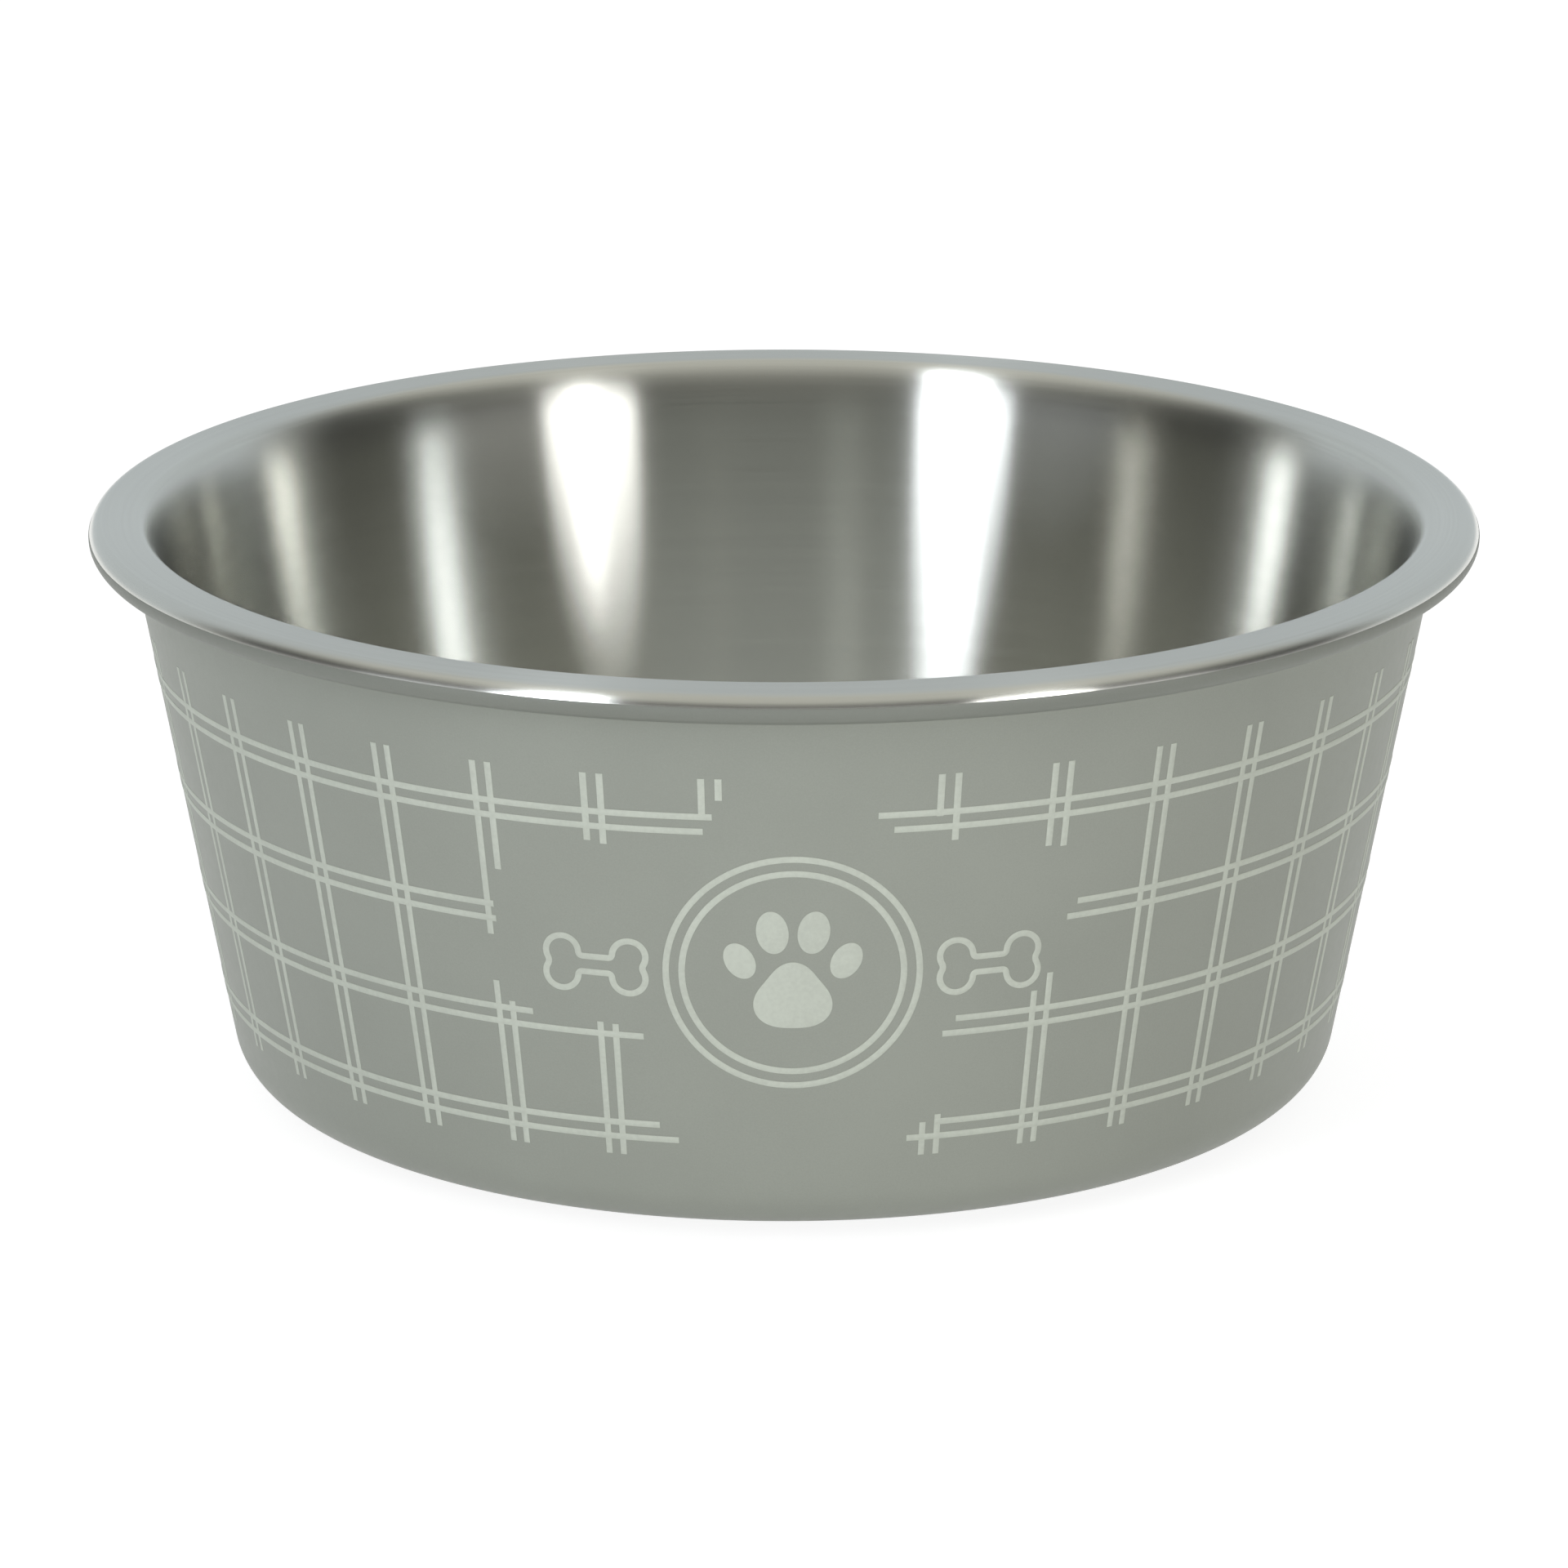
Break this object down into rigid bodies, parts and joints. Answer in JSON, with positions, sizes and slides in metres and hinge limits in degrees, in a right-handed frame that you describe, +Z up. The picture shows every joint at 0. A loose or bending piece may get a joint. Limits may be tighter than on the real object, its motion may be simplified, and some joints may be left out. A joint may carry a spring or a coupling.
{
  "type": "dog bowl",
  "caption": "Round tapered double-wall steel dog bowl: bare inner bowl with its rim rolled over a lacquered outer shell, on a rubber non-slip ring.",
  "frame": {"origin": "on the floor, at the centre of the rubber ring's underside", "axes": "+Z up along the bowl's axis, -Y towards the front of the print, +X to the right seen from the front"},
  "size_m": [0.21, 0.21, 0.0886],
  "materials": {
    "bare_steel": "satin, bare stainless steel",
    "lacquer": "matte grey-taupe lacquer with a pale printed check",
    "rubber": "matte, moulded",
    "adhesive": "matte pressure-sensitive film"
  },
  "bodies": {
    "root": {"inner_bowl": "bare_steel", "outer_shell": "lacquer", "non_slip_ring": "rubber", "ring_adhesive": "adhesive"}
  },
  "joints": []
}
